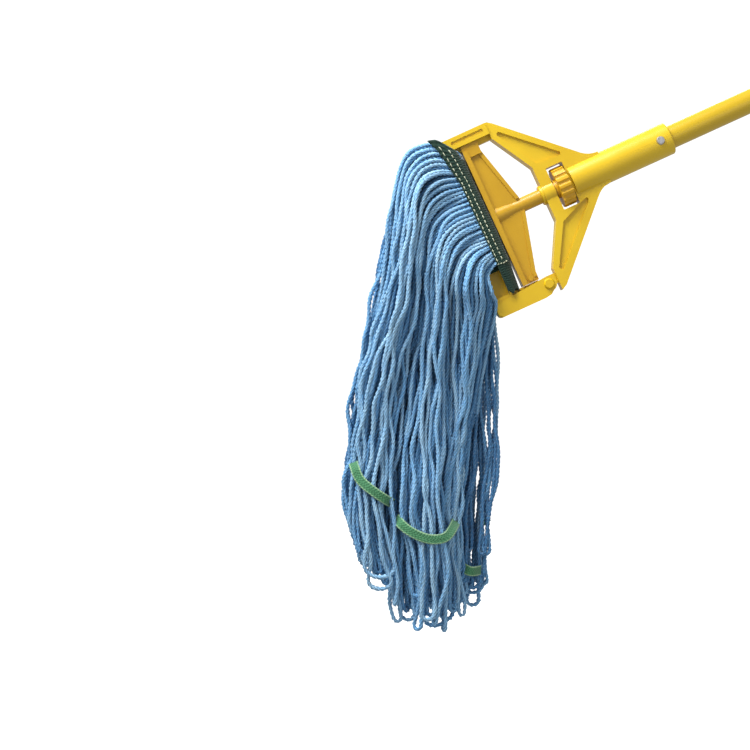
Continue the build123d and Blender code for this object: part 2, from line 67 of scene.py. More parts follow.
def clamp_point(u, v, y):
    """Points in the shared frame from clamp coordinates; each may be a number or an array."""
    u, v, y = (np.asarray(value, float)[..., None] for value in (u, v, y))
    return WHEEL + u * AXIS_U + v * AXIS_V + y * DEPTH


# ---------------------------------------------------------------- camera, light and floor
VIEW_WIDTH = 0.8025
VIEW_CENTRE = (WHEEL[0] - 0.2004, WHEEL[2] - 0.2018)
CAMERA_DISTANCE = 1.6
SENSOR_MM = 36.0
FLOOR_Z = -0.70
FLOOR_RADIUS = 6.5
WALL_CURVE = 2.5
WALL_HEIGHT = 8.0
WALL_TURNS = 96
FLOOR_GLOW = 0.80
WORLD_STRENGTH = 0.55


def add_camera():
    data = bpy.data.cameras.new("camera")
    data.sensor_width = SENSOR_MM
    data.lens = SENSOR_MM * CAMERA_DISTANCE / VIEW_WIDTH
    data.clip_end = 50
    camera = bpy.data.objects.new("camera", data)
    camera.location = (VIEW_CENTRE[0], -CAMERA_DISTANCE, VIEW_CENTRE[1])
    camera.rotation_euler = (radians(90), 0, 0)
    bpy.context.collection.objects.link(camera)
    bpy.context.scene.camera = camera


def add_light(name, location, target, size, watts):
    data = bpy.data.lights.new(name, "AREA")
    data.size = size
    data.energy = watts
    light = bpy.data.objects.new(name, data)
    light.location = location
    light.rotation_euler = (Vector(target) - Vector(location)).to_track_quat("-Z", "Y").to_euler()
    bpy.context.collection.objects.link(light)


def add_stage():
    """A round pale floor that curves up into a wall on every side and shows only to the camera."""
    profile = [(FLOOR_RADIUS + WALL_CURVE * sin(t), FLOOR_Z + WALL_CURVE - WALL_CURVE * cos(t))
               for t in np.linspace(0, pi / 2, 24)]
    profile = [(0.05, FLOOR_Z), (2.0, FLOOR_Z)] + profile + [(FLOOR_RADIUS + WALL_CURVE, WALL_HEIGHT)]
    around = np.linspace(0, 2 * pi, WALL_TURNS, endpoint=False)
    points = [(r * cos(t), r * sin(t), z) for r, z in profile for t in around]
    faces = []
    for ring in range(0, (len(profile) - 1) * WALL_TURNS, WALL_TURNS):
        for k in range(WALL_TURNS):
            after = (k + 1) % WALL_TURNS
            faces.append((ring + k, ring + WALL_TURNS + k, ring + WALL_TURNS + after, ring + after))
    faces.append(tuple(range(WALL_TURNS)))
    mesh = bpy.data.meshes.new("backdrop")
    mesh.from_pydata(points, [], faces)
    mesh.polygons.foreach_set("use_smooth", [True] * len(mesh.polygons))
    backdrop = bpy.data.objects.new("backdrop", mesh)
    backdrop.visible_diffuse = backdrop.visible_glossy = backdrop.visible_shadow = False
    bpy.context.collection.objects.link(backdrop)
    material = bpy.data.materials.new("backdrop_paint")
    material.use_nodes = True
    shader = material.node_tree.nodes["Principled BSDF"]
    shader.inputs["Base Color"].default_value = (0.60, 0.60, 0.60, 1)
    shader.inputs["Roughness"].default_value = 0.95
    shader.inputs["Specular IOR Level"].default_value = 0.0
    shader.inputs["Emission Color"].default_value = (1, 1, 1, 1)
    shader.inputs["Emission Strength"].default_value = FLOOR_GLOW
    mesh.materials.append(material)
    world = bpy.data.worlds.new("studio")
    world.use_nodes = True
    world.node_tree.nodes["Background"].inputs["Color"].default_value = (1, 1, 1, 1)
    world.node_tree.nodes["Background"].inputs["Strength"].default_value = WORLD_STRENGTH
    bpy.context.scene.world = world
    bpy.context.scene.view_settings.view_transform = "Standard"


add_camera()
add_stage()
middle = (VIEW_CENTRE[0], 0, VIEW_CENTRE[1])
add_light("key", (-0.86, -0.52, 0.95), middle, 0.8, 40)
add_light("fill", (1.3, -2.2, 0.1), middle, 1.6, 5)
add_light("rear", (0.3, 2.4, 1.5), (0.1, 0, 0), 1.8, 42)


# ---------------------------------------------------------------- materials
class Nodes:
    """A short way to write a material's node tree."""

    def __init__(self, name):
        self.material = bpy.data.materials.new(name)
        self.material.use_nodes = True
        self.tree = self.material.node_tree
        self.shader = self.tree.nodes["Principled BSDF"]

    def add(self, kind, **settings):
        node = self.tree.nodes.new(kind)
        for key, value in settings.items():
            if hasattr(node, key):
                setattr(node, key, value)
            else:
                node.inputs[key.replace("_", " ")].default_value = value
        return node

    def link(self, start, end):
        self.tree.links.new(start, end)

    def noise(self, scale, detail=3.0, rough=0.55, vector=None):
        node = self.add("ShaderNodeTexNoise")
        node.inputs["Scale"].default_value = scale
        node.inputs["Detail"].default_value = detail
        node.inputs["Roughness"].default_value = rough
        self.link(vector or self.position(), node.inputs["Vector"])
        return node.outputs["Fac"]

    def position(self):
        return self.add("ShaderNodeTexCoord").outputs["Object"]

    def uv(self):
        return self.add("ShaderNodeUVMap", uv_map="weave").outputs["UV"]

    def scaled(self, vector, scale):
        node = self.add("ShaderNodeMapping")
        node.inputs["Scale"].default_value = scale
        self.link(vector, node.inputs["Vector"])
        return node.outputs["Vector"]

    def math(self, operation, *values):
        node = self.add("ShaderNodeMath", operation=operation)
        for socket, value in zip(node.inputs, values):
            if isinstance(value, (int, float)):
                socket.default_value = value
            else:
                self.link(value, socket)
        return node.outputs[0]

    def ramp(self, factor, *stops):
        node = self.add("ShaderNodeValToRGB")
        elements = node.color_ramp.elements
        for element, (place, colour) in zip(elements, (stops[0], stops[-1])):
            element.position, element.color = place, (*colour, 1)
        for place, colour in stops[1:-1]:
            elements.new(place).color = (*colour, 1)
        self.link(factor, node.inputs["Fac"])
        return node.outputs["Color"]

    def mix(self, factor, a, b, blend="MIX"):
        node = self.add("ShaderNodeMix", data_type="RGBA", blend_type=blend)
        for index, value in ((0, factor), (6, a), (7, b)):
            if isinstance(value, (int, float)):
                node.inputs[index].default_value = value
            elif isinstance(value, tuple):
                node.inputs[index].default_value = (*value, 1)
            else:
                self.link(value, node.inputs[index])
        return node.outputs[2]

    def bump(self, height, strength, distance, after=None):
        node = self.add("ShaderNodeBump")
        node.inputs["Strength"].default_value = strength
        node.inputs["Distance"].default_value = distance
        self.link(height, node.inputs["Height"])
        if after is not None:
            self.link(after, node.inputs["Normal"])
        return node.outputs["Normal"]

    def finish(self, colour, roughness, normal, **constants):
        self.link(colour, self.shader.inputs["Base Color"])
        if isinstance(roughness, float):
            self.shader.inputs["Roughness"].default_value = roughness
        else:
            self.link(roughness, self.shader.inputs["Roughness"])
        self.link(normal, self.shader.inputs["Normal"])
        for key, value in constants.items():
            self.shader.inputs[key.replace("_", " ")].default_value = value
        return self.material


def moulded_plastic(name, light, dark):
    """Semi-gloss moulding with faint flow marks, fine pits painted darker as painted shade, and slightly
    dulled patches.
    """
    nodes = Nodes(name)
    cloud = nodes.noise(14.0, 4.0)
    colour = nodes.ramp(cloud, (0.3, dark), (0.7, light))
    pit_shade_speck = nodes.noise(900.0, 2.0)
    # Painted shade for fine pits: scattered specks are pulled towards the dark yellow.
    colour = nodes.mix(nodes.math("MULTIPLY", nodes.math("GREATER_THAN", pit_shade_speck, 0.69), 0.35), colour, dark)
    roughness = nodes.add("ShaderNodeMapRange", To_Min=0.28, To_Max=0.46)
    nodes.link(nodes.noise(55.0, 5.0), roughness.inputs["Value"])
    fine = nodes.bump(nodes.noise(1500.0, 2.0), 0.10, 0.0004)
    flow = nodes.bump(nodes.noise(60.0, 2.0), 0.08, 0.002, fine)
    return nodes.finish(colour, roughness.outputs["Result"], flow, Specular_IOR_Level=0.5, Coat_Weight=0.08)


def plated_metal(name, light, dark, rough):
    nodes = Nodes(name)
    colour = nodes.ramp(nodes.noise(300.0, 5.0), (0.35, dark), (0.65, light))
    scratch = nodes.noise(500.0, 3.0, vector=nodes.scaled(nodes.position(), (1.0, 9.0, 1.0)))
    roughness = nodes.add("ShaderNodeMapRange", To_Min=rough, To_Max=rough + 0.2)
    nodes.link(scratch, roughness.inputs["Value"])
    return nodes.finish(colour, roughness.outputs["Result"], nodes.bump(scratch, 0.15, 0.0003), Metallic=1.0)


def coated_tube(name, light, dark):
    """Powder coat: an orange-peel surface over smooth metal, rubbed a little smoother in places."""
    nodes = Nodes(name)
    colour = nodes.ramp(nodes.noise(9.0, 3.0), (0.3, dark), (0.7, light))
    roughness = nodes.add("ShaderNodeMapRange", To_Min=0.22, To_Max=0.4)
    nodes.link(nodes.noise(25.0, 4.0), roughness.inputs["Value"])
    peel = nodes.bump(nodes.noise(700.0, 1.0), 0.22, 0.0005)
    return nodes.finish(colour, roughness.outputs["Result"], peel, Coat_Weight=0.15)


def yarn_cotton():
    """Plied yarn: a tone per strand, painted shade on inner strands and in ply grooves, pale flecks, fine
    fibres.
    """
    nodes = Nodes("yarn_cotton")
    # The strand attribute holds each strand's random tone, lowered on inner layers as painted shade.
    tone = nodes.add("ShaderNodeAttribute", attribute_name="tone").outputs["Fac"]
    ply = nodes.add("ShaderNodeAttribute", attribute_name="ply").outputs["Fac"]
    wander = nodes.noise(70.0, 4.0)
    shade = nodes.math("ADD", nodes.math("MULTIPLY", tone, 0.66), nodes.math("MULTIPLY", wander, 0.46))
    colour = nodes.ramp(shade, (0.10, (0.020, 0.095, 0.240)), (0.32, (0.085, 0.270, 0.540)),
                        (0.60, (0.195, 0.475, 0.805)), (0.92, (0.450, 0.730, 0.950)))
    along = nodes.scaled(nodes.uv(), (8.0, 420.0, 1.0))
    fleck = nodes.add("ShaderNodeMapRange", From_Min=0.50, From_Max=0.68, To_Min=0.0, To_Max=0.44)
    nodes.link(nodes.noise(1.0, 3.0, vector=along), fleck.inputs["Value"])
    colour = nodes.mix(fleck.outputs["Result"], colour, (0.50, 0.70, 0.86))
    fibre = nodes.noise(1.0, 4.0, vector=nodes.scaled(nodes.uv(), (14.0, 1300.0, 1.0)))
    # Painted shade: the grooves between plies are darkened towards a deep blue.
    groove_shade = nodes.add("ShaderNodeMapRange", From_Min=0.0, From_Max=0.60, To_Min=0.66, To_Max=0.0)
    nodes.link(ply, groove_shade.inputs["Value"])
    colour = nodes.mix(groove_shade.outputs["Result"], colour, (0.022, 0.065, 0.150))
    fuzz = nodes.bump(fibre, 0.6, 0.0010)
    lint = nodes.bump(nodes.noise(1400.0, 2.0), 0.35, 0.0006, fuzz)
    return nodes.finish(colour, 0.92, lint, Sheen_Weight=0.12, Sheen_Roughness=0.5, Specular_IOR_Level=0.12)


def woven_tape(name, warp, weft, edge, ribs, picks, edge_width=0.08, slant=0.0):
    """Woven tape: fine ribs along it and picks across, paler or darker selvedges, and a little lint."""
    nodes = Nodes(name)
    split = nodes.add("ShaderNodeSeparateXYZ")
    nodes.link(nodes.uv(), split.inputs["Vector"])
    across = nodes.math("SINE", nodes.math("MULTIPLY", split.outputs["X"], ribs * 2 * pi))
    from_middle = nodes.math("ABSOLUTE", nodes.math("SUBTRACT", split.outputs["X"], 0.5))
    chevron = nodes.math("MULTIPLY", from_middle, slant * 2 * pi)
    along = nodes.math("SINE", nodes.math("MULTIPLY_ADD", split.outputs["Y"], picks * 2 * pi, chevron))
    weave = nodes.math("MULTIPLY", across, along)
    colour = nodes.ramp(nodes.math("MULTIPLY_ADD", weave, 0.5, 0.5), (0.0, weft), (1.0, warp))
    selvedge = nodes.math("GREATER_THAN", from_middle, 0.5 - edge_width)
    colour = nodes.mix(nodes.math("MULTIPLY", selvedge, 0.8), colour, edge)
    worn = nodes.math("MULTIPLY", nodes.noise(70.0, 5.0), 0.35)
    colour = nodes.mix(worn, colour, tuple(min(1.0, c * 1.9 + 0.01) for c in warp))
    thread = nodes.bump(weave, 0.7, 0.0005)
    lint = nodes.bump(nodes.noise(1200.0, 3.0), 0.4, 0.0005, thread)
    return nodes.finish(colour, 0.88, lint, Sheen_Weight=0.2, Specular_IOR_Level=0.2)


def thread_cotton():
    nodes = Nodes("thread_cotton")
    colour = nodes.ramp(nodes.noise(500.0, 3.0), (0.3, (0.42, 0.45, 0.30)), (0.7, (0.66, 0.68, 0.50)))
    return nodes.finish(colour, 0.8, nodes.bump(nodes.noise(2500.0, 2.0), 0.5, 0.0003), Sheen_Weight=0.2)


YELLOW = moulded_plastic("yellow_moulding", (0.660, 0.450, 0.008), (0.600, 0.380, 0.005))
# The jaw is the same yellow moulding painted darker: painted shade for the jaw and its washers.
SHADED_JAW_YELLOW = moulded_plastic("yellow_jaw", (0.520, 0.300, 0.006), (0.450, 0.245, 0.004))
# The wheel is the same yellow moulding painted more orange: painted shade and reflected yellow light from its
# slot.
SHADED_WHEEL_YELLOW = moulded_plastic("yellow_wheel", (0.640, 0.370, 0.007), (0.570, 0.310, 0.005))
POLE_YELLOW = coated_tube("yellow_pole", (0.560, 0.380, 0.007), (0.500, 0.320, 0.005))
ZINC = plated_metal("zinc", (0.62, 0.62, 0.63), (0.42, 0.42, 0.44), 0.32)
BRASS = plated_metal("brass", (0.80, 0.58, 0.26), (0.60, 0.42, 0.17), 0.25)
YARN = yarn_cotton()
DARK_TAPE = woven_tape("headband_tape", (0.010, 0.036, 0.024), (0.002, 0.010, 0.007), (0.006, 0.024, 0.014),
                       6, 38, slant=4.0)
TAIL_TAPE = woven_tape("tail_tape", (0.075, 0.235, 0.110), (0.010, 0.070, 0.034), (0.300, 0.450, 0.270),
                       3, 30, 0.13, slant=1.5)
THREAD = thread_cotton()

NODE_MATERIALS = {
    YELLOW: ("yoke", "stem_bush", "gate", "pole_end_plug", "gate_pivot_rivet"),
    SHADED_WHEEL_YELLOW: ("thumbwheel",),
    SHADED_JAW_YELLOW: ("jaw", "thrust_washer_front", "thrust_washer_back"),
    POLE_YELLOW: ("pole",),
    ZINC: ("screw_rod", "screw_pin", "gate_pivot_washer", "pole_rivet"),
    BRASS: ("wheel_insert",),
}
for finish, names in NODE_MATERIALS.items():
    for name in names:
        for material_slot in frame["nodes"][name].material_slots:
            material_slot.material = finish


# ---------------------------------------------------------------- meshes from arrays
def new_piece(name, points, faces, material, uv=None, smooth=True, **attributes):
    """A mesh object from an (n, 3) array of points and an (m, 4) array of quads."""
    mesh = bpy.data.meshes.new(name)
    mesh.vertices.add(len(points))
    mesh.vertices.foreach_set("co", np.asarray(points, np.float32).ravel())
    mesh.loops.add(faces.size)
    mesh.loops.foreach_set("vertex_index", faces.astype(np.int32).ravel())
    mesh.polygons.add(len(faces))
    mesh.polygons.foreach_set("loop_start", np.arange(0, faces.size, faces.shape[1], dtype=np.int32))
    mesh.update(calc_edges=True)
    mesh.polygons.foreach_set("use_smooth", np.full(len(faces), smooth))
    if uv is not None:
        layer = mesh.uv_layers.new(name="weave")
        layer.data.foreach_set("uv", np.asarray(uv, np.float32).ravel())
    for key, values in attributes.items():
        mesh.attributes.new(key, "FLOAT", "POINT").data.foreach_set("value", np.asarray(values, np.float32))
    mesh.validate()
    mesh.materials.append(material)
    piece = bpy.data.objects.new(name, mesh)
    bpy.context.collection.objects.link(piece)
    return piece


def smooth_line(points, step):
    """A smooth line through points, resampled evenly at about step."""
    points = np.asarray(points, float)
    ends = np.vstack([2 * points[0] - points[1], points, 2 * points[-1] - points[-2]])
    t = np.linspace(0, 1, 12, endpoint=False)[:, None]
    pieces = []
    for a, b, c, d in zip(ends[:-3], ends[1:-2], ends[2:-1], ends[3:]):
        pieces.append(0.5 * (2 * b + (c - a) * t + (2 * a - 5 * b + 4 * c - d) * t ** 2
                             + (3 * b - a - 3 * c + d) * t ** 3))
    return even_line(np.vstack(pieces + [points[-1:]]), step)


def even_line(fine, step):
    """The same line with its points evenly spaced, about step apart."""
    lengths = np.concatenate([[0], np.cumsum(np.linalg.norm(np.diff(fine, axis=0), axis=1))])
    count = max(4, int(round(lengths[-1] / step)) + 1)
    at = np.linspace(0, lengths[-1], count)
    return np.stack([np.interp(at, lengths, fine[:, k]) for k in range(3)], axis=1)


def frames_along(line):
    """Unit tangents and two normals along a line, carried along without twist."""
    tangent = np.gradient(line, axis=0)
    tangent /= np.linalg.norm(tangent, axis=1)[:, None]
    normal = np.empty_like(line)
    start = np.cross(tangent[0], (0.3, 1.0, 0.2))
    normal[0] = start / np.linalg.norm(start)
    for i in range(1, len(line)):
        carried = normal[i - 1] - tangent[i] * (normal[i - 1] @ tangent[i])
        normal[i] = carried / np.linalg.norm(carried)
    return tangent, normal, np.cross(tangent, normal)


PLIES = 4
TUBE_SIDES = 8
# The length in which a ply goes once round its strand.
TWIST = 0.021
YARN_R = 0.00210
# The distance between the rings of a strand's mesh.
STEP = 0.0034
# The share of its radius that a tube keeps at its ends.
END_SHARE = 0.3


def tube(line, radius, phase, plied=0.19):
    """Points, quads, UVs and ply heights of a plied tube with drawn-in ends."""
    _, normal, binormal = frames_along(line)
    along = np.arange(len(line)) * np.linalg.norm(line[1] - line[0])
    angle = np.arange(TUBE_SIDES) * 2 * pi / TUBE_SIDES
    turn = along * 2 * pi / TWIST + phase
    around = angle[None, :] + turn[:, None]
    ply = 0.5 + 0.5 * np.cos(PLIES * angle)[None, :] * np.ones((len(line), 1))
    size = np.asarray(radius)[..., None] * (1 - plied + 2 * plied * ply)
    points = (line[:, None, :] + (size * np.cos(around))[..., None] * normal[:, None, :]
              + (size * np.sin(around))[..., None] * binormal[:, None, :])
    for end in (0, -1):
        points[end] = line[end] + (points[end] - line[end]) * END_SHARE
    ring = np.arange(len(line) - 1)[:, None] * TUBE_SIDES
    here = np.arange(TUBE_SIDES)[None, :]
    after = (here + 1) % TUBE_SIDES
    above = ring + TUBE_SIDES
    quads = np.stack([ring + here, ring + after, above + after, above + here], axis=-1)
    u_here = np.broadcast_to(here / TUBE_SIDES, (len(line) - 1, TUBE_SIDES))
    u_after = u_here + 1 / TUBE_SIDES
    v_here = np.broadcast_to(along[:-1, None], (len(line) - 1, TUBE_SIDES))
    v_after = np.broadcast_to(along[1:, None], (len(line) - 1, TUBE_SIDES))
    uv = np.stack([u_here, v_here, u_after, v_here, u_after, v_after, u_here, v_after], axis=-1)
    return points.reshape(-1, 3), quads.reshape(-1, 4), uv.reshape(-1, 2), ply.ravel()


def tubes_piece(name, lines, radii, phases, tones_and_shade, material, plied=0.19):
    """One mesh of many plied tubes."""
    all_points, all_quads, all_uv, all_ply, all_tone_and_shade = [], [], [], [], []
    count = 0
    for line, radius, phase, tone in zip(lines, radii, phases, tones_and_shade):
        points, quads, uv, ply = tube(line, radius, phase, plied)
        all_points.append(points)
        all_quads.append(quads + count)
        all_uv.append(uv)
        all_ply.append(ply)
        all_tone_and_shade.append(np.full(len(points), tone))
        count += len(points)
    return new_piece(name, np.vstack(all_points), np.vstack(all_quads), material, np.vstack(all_uv),
                     ply=np.concatenate(all_ply), tone=np.concatenate(all_tone_and_shade))


# ---------------------------------------------------------------- the folded headband
FOLD_U = -0.0953
FOLD_Y = 0.0092
FOLD_R = 0.0034
ARC_U, ARC_Y = FOLD_U - FOLD_R, FOLD_Y - FOLD_R
BAND_TOP_V, BAND_YARN_END_V = 0.090, -0.048


def fold_section(reach, skirt_u, steps=9):
    """(u, y) points over the fold, from the front skirt to the back one, a reach outside the crossbar."""
    angles = np.linspace(pi / 2, 0, steps)
    radius = FOLD_R + reach
    arc = np.stack([ARC_U + radius * np.cos(angles), ARC_Y + radius * np.sin(angles)], axis=1)
    skirt = np.linspace(skirt_u, ARC_U, 4)[:-1]
    side = np.stack([skirt, np.full(len(skirt), ARC_Y + radius)], axis=1)
    half = np.vstack([side, arc, [(FOLD_U + reach, ARC_Y * 0.5)]])
    middle_point = np.array([(FOLD_U + reach, 0.0)])
    return np.vstack([half * (1, OUTWARD["front"]), middle_point, half[::-1]])


# ---------------------------------------------------------------- the yarn
rng = np.random.default_rng(41)
LAYERS = 5
# The share of its strands that each layer keeps, so dark gaps show between the outer ones.
THINNING = (1.0, 1.0, 1.0, 0.9, 0.8)
ROW_Q = (0.0, 0.435, 0.780, 1.0)
# The first and last q of each lobe, its strands across and its greatest depth.
GROUPS = {
    "left": (ROW_Q[0], ROW_Q[1], 16, 0.040),
    "middle": (ROW_Q[1], ROW_Q[2], 13, 0.045),
    "right": (ROW_Q[2], ROW_Q[3], 9, 0.039),
}
# The way a strand takes from the band to the floor, seen from the front, for each q in ROW_Q.
FALLS = {
    "front": (
        ((-0.1480, 0.0440), (-0.1234, -0.0233), (-0.1017, -0.0657), (-0.0800, -0.0960)),
        ((-0.1665, 0.0350), (-0.1375, -0.0370), (-0.1140, -0.0780), (-0.0800, -0.1050)),
        ((-0.1765, 0.0110), (-0.1455, -0.0600), (-0.1215, -0.0960), (-0.0775, -0.1130)),
        ((-0.1850, -0.0420), (-0.1480, -0.0900), (-0.1238, -0.1120), (-0.0765, -0.1190)),
        ((-0.1975, -0.1216), (-0.1510, -0.1300), (-0.1244, -0.1350), (-0.0740, -0.1350)),
        ((-0.2170, -0.2100), (-0.1700, -0.2100), (-0.1210, -0.2100), (-0.0900, -0.2100)),
        ((-0.2245, -0.2820), (-0.1795, -0.2820), (-0.1185, -0.2820), (-0.1040, -0.2820)),
        ((-0.2300, -0.3355), (-0.1805, -0.3355), (-0.1200, -0.3355), (-0.1090, -0.3355)),
        ((-0.2190, -0.4212), (-0.1735, -0.4212), (-0.1210, -0.4212), (-0.1085, -0.4212)),
        ((-0.2100, -0.5100), (-0.1710, -0.5100), (-0.1220, -0.5100), (-0.1080, -0.5100))),
    "back": (
        ((-0.1480, 0.0420), (-0.1234, -0.0233), (-0.1017, -0.0657), (-0.0800, -0.0960)),
        ((-0.1640, 0.0330), (-0.1375, -0.0370), (-0.1140, -0.0780), (-0.0790, -0.1050)),
        ((-0.1735, 0.0090), (-0.1455, -0.0600), (-0.1215, -0.0960), (-0.0760, -0.1130)),
        ((-0.1810, -0.0420), (-0.1480, -0.0900), (-0.1238, -0.1120), (-0.0735, -0.1190)),
        ((-0.1930, -0.1216), (-0.1500, -0.1300), (-0.1230, -0.1350), (-0.0705, -0.1400)),
        ((-0.2110, -0.2100), (-0.1660, -0.2100), (-0.1180, -0.2100), (-0.0715, -0.2100)),
        ((-0.2180, -0.2820), (-0.1740, -0.2820), (-0.1160, -0.2820), (-0.0710, -0.2820)),
        ((-0.2220, -0.3355), (-0.1750, -0.3355), (-0.1150, -0.3355), (-0.0760, -0.3355)),
        ((-0.2130, -0.4212), (-0.1690, -0.4212), (-0.1150, -0.4212), (-0.0830, -0.4212)),
        ((-0.2050, -0.5100), (-0.1670, -0.5100), (-0.1150, -0.5100), (-0.0850, -0.5100))),
}
# How low the lowest loops reach, along the band.
END_Q = (0.0, 0.10, 0.20, 0.35, 0.50, 0.65, 0.78, 0.90, 1.0)
END_Z = (-0.386, -0.409, -0.424, -0.453, -0.464, -0.467, -0.464, -0.460, -0.442)
# Depth of the innermost and outermost layers, row by row down the fall. From FREE_ROW on, the outermost is a
# share of the lobe's greatest depth.
INNER_Y = (0.0125, 0.0115, 0.0085, 0.0055, 0.0040, 0.0030, 0.0030, 0.0030, 0.0030, 0.0030)
OUTER_Y = (0.0275, 0.0340, 0.0375, 0.0385, 0.92, 0.80, 0.76, 0.86, 0.92, 0.84)
FREE_ROW = 4
LINE_STEP = 0.004
# The share of its depth that each front lobe loses, row by row, so that it lies behind the left one.
SINK = {"left": (0,) * 10, "middle": (0, 0, 0, 0.05, 0.16, 0.26, 0.20, 0.05, 0, 0),
        "right": (0, 0, 0, 0.05, 0.16, 0.36, 0.50, 0.60, 0.60, 0.60)}


def lobe_depth(row, layer, a, deepest):
    """How far from the middle plane a strand of a layer runs, for its place a (-1 to 1) across its lobe."""
    roundness = sqrt(1 - (0.985 * a) ** 2)
    if row >= FREE_ROW:
        outer = deepest * OUTER_Y[row] * roundness
    else:
        outer = OUTER_Y[row] * (0.55 + 0.45 * roundness)
    return INNER_Y[row] + (outer - INNER_Y[row]) * layer / (LAYERS - 1)


def strand(q, a, layer, side, group):
    """Points of one strand from the middle of the fold to below the ends."""
    v = BAND_TOP_V + (BAND_YARN_END_V - BAND_TOP_V) * q
    reach = 0.0026 + 0.0015 * layer
    section = fold_section(reach, ARC_U - 0.0035, 4)
    half = section[:len(section) // 2 + 1][::-1]
    rise = np.interp(half[:, 0], (-0.1040, -0.0951, -0.0876), (0.0075, -0.0030, -0.0120))
    at_top = np.clip(1 - q / 0.15, 0, 1)
    start = clamp_point(half[:, 0], v + rise * at_top, np.abs(half[:, 1]) * OUTWARD[side])
    rows = []
    for row, places in enumerate(FALLS[side]):
        x = np.interp(q, ROW_Q, [place[0] for place in places])
        z = np.interp(q, ROW_Q, [place[1] for place in places])
        sunk = 1 - SINK[group][row] if side == "front" else 1
        y = OUTWARD[side] * lobe_depth(row, layer, a, GROUPS[group][3]) * sunk
        rows.append((WHEEL[0] + x, y, WHEEL[2] + z))
    return smooth_line(np.vstack([start, rows]), LINE_STEP)


# The shared drift's waves: how fast each changes across the band and down the strand, and its size.
DRIFTS = ((9, 11, 1.0), (17, 19, 0.7), (5, 27, 0.5), (41, 9, 0.9), (67, 15, 0.8), (97, 6, 0.6))
WAVES = rng.uniform(0, 2 * pi, (len(DRIFTS), 2))
# A strand's own waves: frequency and size.
OWN_WAVES = ((13, 1.0), (31, 0.75), (67, 0.42), (118, 0.22))


def wander(line, q, layer, amount):
    """Slow sideways drift: shared by neighbours at first, each strand's own further down."""
    s = np.arange(len(line)) * np.linalg.norm(line[1] - line[0])
    gathered = np.clip((s - 0.030) / 0.05, 0, 1)
    free = np.clip((s - 0.035) / 0.18, 0, 1)
    drift = np.zeros((len(line), 2))
    for k, (across, along, size) in enumerate(DRIFTS):
        for axis in (0, 1):
            drift[:, axis] += size * np.sin(across * q + 1.7 * layer * (k % 2) + along * s + WAVES[k, axis])
    own = np.zeros((len(line), 2))
    for frequency, size in OWN_WAVES:
        phase = rng.uniform(0, 2 * pi, 2)
        own += size * np.sin(frequency * rng.uniform(0.75, 1.3) * s[:, None] + phase[None, :])
    proud = rng.uniform(-1, 1)
    lean = rng.normal(0, 0.0036) * np.clip((s - 0.12) / 0.30, 0, 1)
    moved = line.copy()
    moved[:, 0] += gathered * (0.0007 + 0.0006 * free) * drift[:, 0] + lean
    moved[:, 0] += amount * 0.0033 * own[:, 0] * (0.25 * gathered + 0.75 * free)
    moved[:, 2] += gathered * (1 - free) * 0.0006 * drift[:, 1]
    away = np.sign(line[:, 1]) * gathered
    moved[:, 1] += away * (0.0007 * drift[:, 1] + (0.0015 + 0.0026 * free) * proud
                           + amount * 0.0012 * own[:, 1] * (0.3 + 0.7 * free))
    return moved


def cut_at(line, z):
    """The part of a line above a height."""
    below = np.nonzero(line[:, 2] < z)[0]
    return line[:below[0]] if len(below) else line


def flare(line, way, width, reach=0.055):
    """Spread the last stretch of a strand sideways, away from the one that it is joined to."""
    s = np.arange(len(line))[::-1] * np.linalg.norm(line[1] - line[0])
    share = np.clip(1 - s / reach, 0, 1) ** 2
    line[:, 0] += way * width * share * (1 - 0.35 * share)


def loop(first, second, width):
    """Two strands joined by a turn at the bottom; returns one line."""
    flare(first, -1, width)
    flare(second, 1, width)
    a, b = first[-1], second[-1]
    heading_a = (first[-1] - first[-4]) / np.linalg.norm(first[-1] - first[-4])
    heading_b = (second[-1] - second[-4]) / np.linalg.norm(second[-1] - second[-4])
    pull = 2.0 * max(0.008, np.linalg.norm(b - a))
    t = np.linspace(0, 1, 14)[1:-1, None]
    turn = ((2 * t ** 3 - 3 * t ** 2 + 1) * a + (t ** 3 - 2 * t ** 2 + t) * pull * heading_a
            + (3 * t ** 2 - 2 * t ** 3) * b - (t ** 3 - t ** 2) * pull * heading_b)
    return even_line(np.vstack([first, turn, second[::-1]]), STEP)


def yarn_radius(line, size):
    """Squeezed under the band, full size a little way out of it."""
    u = (line - WHEEL) @ AXIS_U
    out = np.clip((-0.099 - u) / 0.022, 0, 1)
    out = np.where(line[:, 2] < WHEEL[2] - 0.13, 1, out)
    s = np.arange(len(line)) * STEP
    slubs = 0.07 * np.sin(rng.uniform(90, 160) * s + rng.uniform(0, 6))
    slubs += 0.05 * np.sin(rng.uniform(230, 340) * s)
    return size * (0.68 + 0.32 * out) * (1 + slubs)


# How far the loops' heights spread upwards, and how much higher the inner layers and the back end.
END_SPREAD, INNER_RISE, BACK_RISE = 0.040, 0.030, 0.010
LOOP_WIDTHS = (0.0008, 0.0055)
STRANDS = {}


